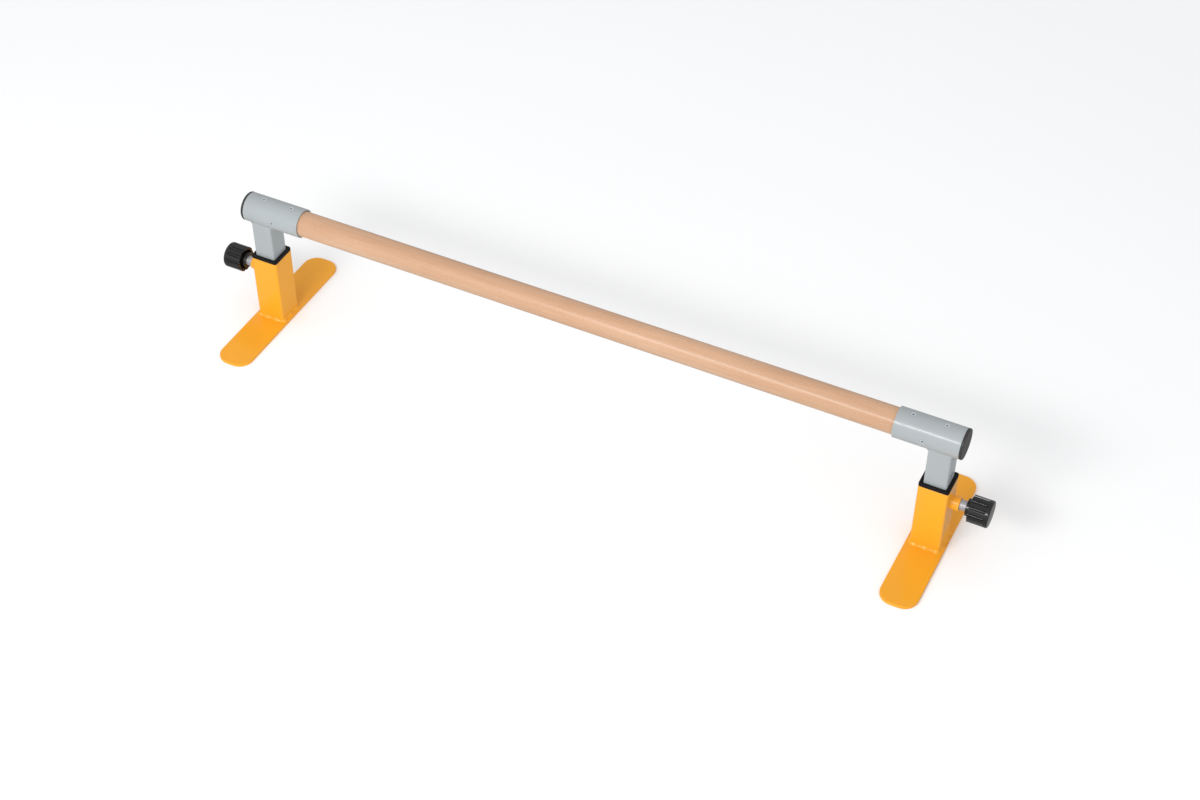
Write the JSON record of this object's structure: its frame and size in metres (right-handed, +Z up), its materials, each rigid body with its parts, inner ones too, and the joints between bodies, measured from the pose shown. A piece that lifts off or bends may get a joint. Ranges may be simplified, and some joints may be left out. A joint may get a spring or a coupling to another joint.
{
  "type": "handstand bar",
  "caption": "Low floor bar for handstand training: a round wooden rail on height-adjustable steel feet, locked by sprung pull pins.",
  "frame": {"origin": "on the floor, midway between the two feet and under the rail's centre line", "axes": "+X along the rail to the right foot, +Y to the back, +Z up"},
  "size_m": [1.3462, 0.3, 0.2417],
  "materials": {
    "lacquered_beech": "clear satin lacquer",
    "grey_powder_coat": "glossy light grey powder coat",
    "yellow_powder_coat": "glossy golden yellow powder coat",
    "black_plastic": "moulded satin",
    "zinc_steel": "bright zinc plate",
    "spring_steel": "drawn wire"
  },
  "bodies": {
    "left_foot": {"left_base_plate": "yellow_powder_coat", "left_column": "yellow_powder_coat", "left_guide_bush": "black_plastic", "left_plunger_boss": "yellow_powder_coat"},
    "bar": {"rail": "lacquered_beech", "left_sleeve": "grey_powder_coat", "left_end_cap": "black_plastic", "left_post": "grey_powder_coat", "left_screw_outer_top": "zinc_steel", "left_screw_inner_top": "zinc_steel", "left_screw_front": "zinc_steel", "left_screw_rear": "zinc_steel", "right_sleeve": "grey_powder_coat", "right_end_cap": "black_plastic", "right_post": "grey_powder_coat", "right_screw_outer_top": "zinc_steel", "right_screw_inner_top": "zinc_steel", "right_screw_front": "zinc_steel", "right_screw_rear": "zinc_steel"},
    "right_foot": {"right_base_plate": "yellow_powder_coat", "right_column": "yellow_powder_coat", "right_guide_bush": "black_plastic", "right_plunger_boss": "yellow_powder_coat"},
    "left_plunger": {"left_plunger_barrel": "zinc_steel", "left_plunger_spring": "spring_steel"},
    "left_knob": {"left_pull_knob": "black_plastic", "left_plunger_pin": "zinc_steel"},
    "right_plunger": {"right_plunger_barrel": "zinc_steel", "right_plunger_spring": "spring_steel"},
    "right_knob": {"right_pull_knob": "black_plastic", "right_plunger_pin": "zinc_steel"}
  },
  "joints": [
    {"name": "height_slide", "type": "slide", "parent": "left_foot", "child": "bar", "axis": [0, 0, 1], "range_m": [-0.05, 0.025]},
    {"name": "right_foot_slide", "type": "slide", "parent": "bar", "child": "right_foot", "axis": [0, 0, -1], "range_m": [-0.05, 0.025]},
    {"name": "left_plunger_turn", "type": "hinge", "parent": "left_foot", "child": "left_plunger", "pos_m": [-0.586, 0, 0.0955], "axis": [-1, 0, 0], "range_deg": [0, 360]},
    {"name": "left_plunger_pull", "type": "slide", "parent": "left_plunger", "child": "left_knob", "axis": [-1, 0, 0], "range_m": [-0.009, 0.003], "stiffness_N_per_m": 500, "springref_m": -0.012, "deforming": ["left_plunger_spring"]},
    {"name": "right_plunger_turn", "type": "hinge", "parent": "right_foot", "child": "right_plunger", "pos_m": [0.586, 0, 0.0955], "axis": [1, 0, 0], "range_deg": [0, 360]},
    {"name": "right_plunger_pull", "type": "slide", "parent": "right_plunger", "child": "right_knob", "axis": [1, 0, 0], "range_m": [-0.009, 0.003], "stiffness_N_per_m": 500, "springref_m": -0.012, "deforming": ["right_plunger_spring"]}
  ],
  "couplings": [
    {"joint": "right_foot_slide", "follows": "height_slide", "ratio": 1}
  ]
}
